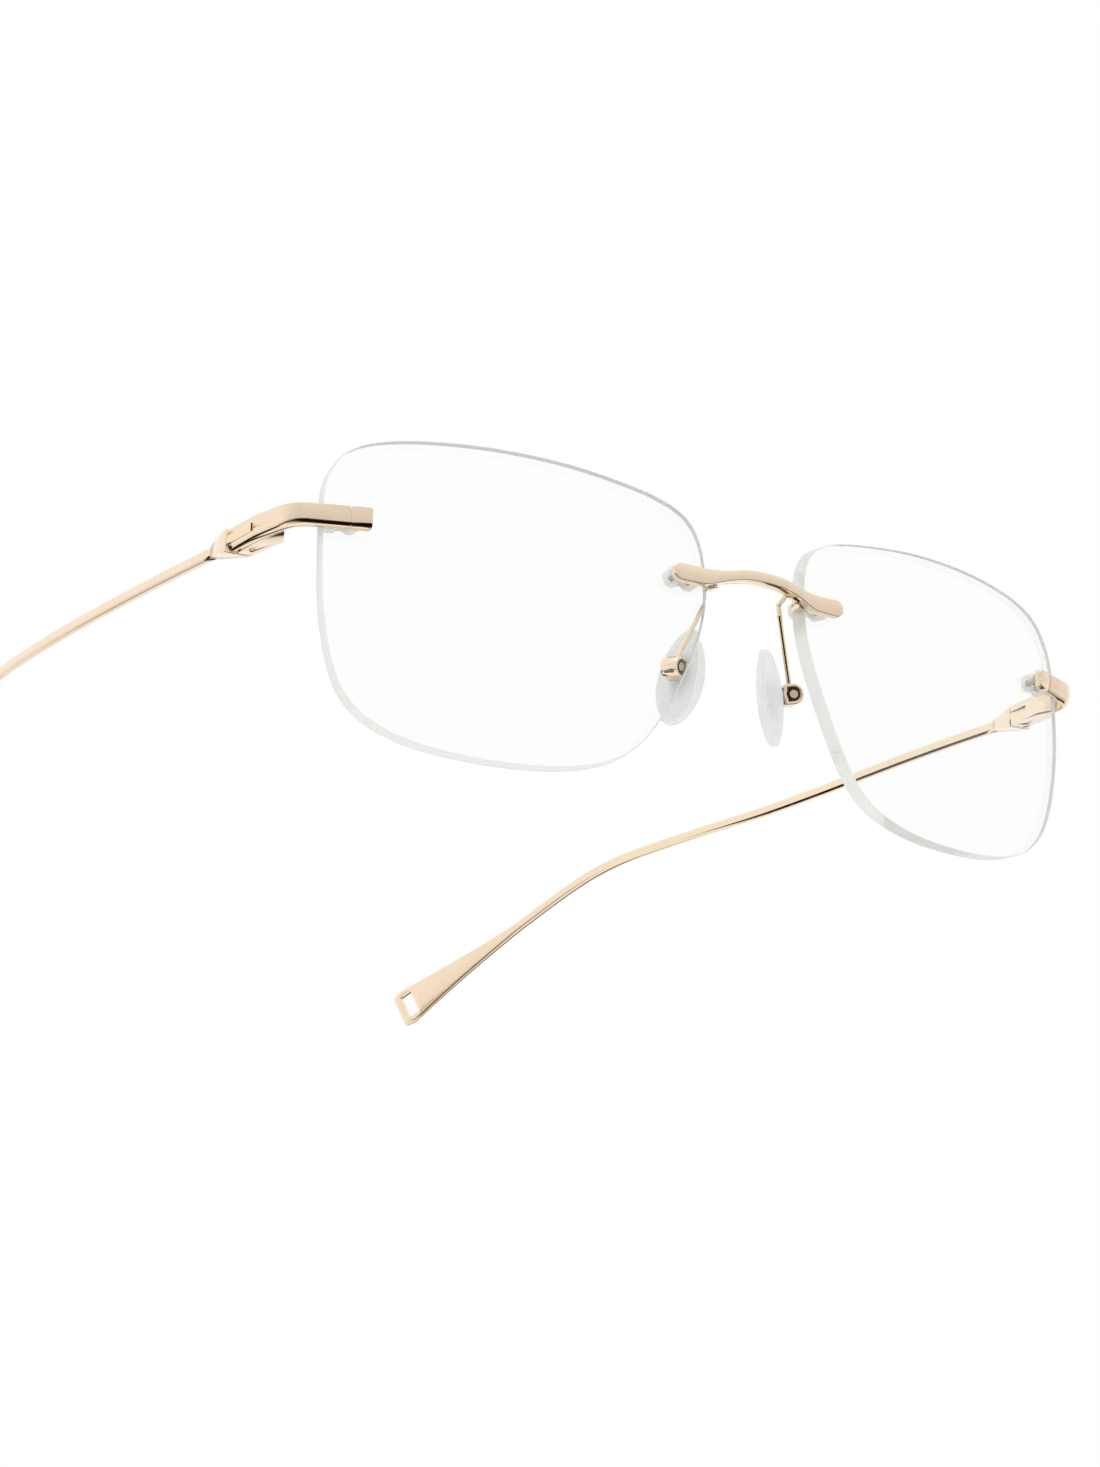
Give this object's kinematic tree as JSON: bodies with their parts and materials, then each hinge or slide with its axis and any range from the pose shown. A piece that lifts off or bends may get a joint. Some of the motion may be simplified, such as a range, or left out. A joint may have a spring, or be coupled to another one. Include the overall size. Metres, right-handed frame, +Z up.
{
  "type": "rimless eyeglasses",
  "caption": "Rimless glasses: clear drilled lenses on pins and clear sleeves, a metal bridge with silicone nose pads, hinged slim metal temples that widen to eyed tips.",
  "frame": {"origin": "centre of the bounding box, front to back and side to side, on the table the glasses stand on", "axes": "+X to the wearer's left, +Y from the lenses to the temple tips, +Z up"},
  "size_m": [0.1352, 0.1749, 0.0408],
  "materials": {
    "lens_clear": "clear polished",
    "sleeve_clear": "clear moulded",
    "pad_silicone": "clear satin silicone",
    "screw_steel": "gold-tone plated",
    "rose_gold": "polished rose-gold plating over steel"
  },
  "bodies": {
    "front": {"lens_right": "lens_clear", "lens_left": "lens_clear", "bridge": "rose_gold", "bridge_pins_right": "screw_steel", "bridge_pins_left": "screw_steel", "bridge_sleeve_right": "sleeve_clear", "bridge_sleeve_left": "sleeve_clear", "endpiece_right": "rose_gold", "endpiece_left": "rose_gold", "endpiece_pins_right": "screw_steel", "endpiece_pins_left": "screw_steel", "endpiece_sleeve_right": "sleeve_clear", "endpiece_sleeve_left": "sleeve_clear", "hinge_fork_right": "rose_gold", "hinge_fork_left": "rose_gold", "hinge_screw_right": "screw_steel", "hinge_screw_left": "screw_steel", "pad_arm_right": "rose_gold", "pad_arm_left": "rose_gold", "pad_box_right": "rose_gold", "pad_box_left": "rose_gold", "pad_screw_right": "screw_steel", "pad_screw_left": "screw_steel"},
    "right_temple": {"temple_hinge_right": "rose_gold", "temple_right": "rose_gold"},
    "right_pad": {"nose_pad_right": "pad_silicone", "pad_insert_right": "sleeve_clear"},
    "left_temple": {"temple_hinge_left": "rose_gold", "temple_left": "rose_gold"},
    "left_pad": {"nose_pad_left": "pad_silicone", "pad_insert_left": "sleeve_clear"}
  },
  "joints": [
    {"name": "right_temple_hinge", "type": "hinge", "parent": "front", "child": "right_temple", "pos_m": [-0.0623, -0.0651, 0.02808], "axis": [0, 0, -1], "range_deg": [0, 90]},
    {"name": "left_temple_hinge", "type": "hinge", "parent": "front", "child": "left_temple", "pos_m": [0.0623, -0.0651, 0.02808], "axis": [0, 0, 1], "range_deg": [0, 84]},
    {"name": "right_pad_rock", "type": "hinge", "parent": "front", "child": "right_pad", "pos_m": [-0.00966, -0.07962, 0.01751], "axis": [-0.3851, 0.9154, 0.1172], "range_deg": [-8, 8]},
    {"name": "left_pad_rock", "type": "hinge", "parent": "front", "child": "left_pad", "pos_m": [0.00966, -0.07962, 0.01751], "axis": [0.3851, 0.9154, 0.1172], "range_deg": [-8, 8]}
  ]
}
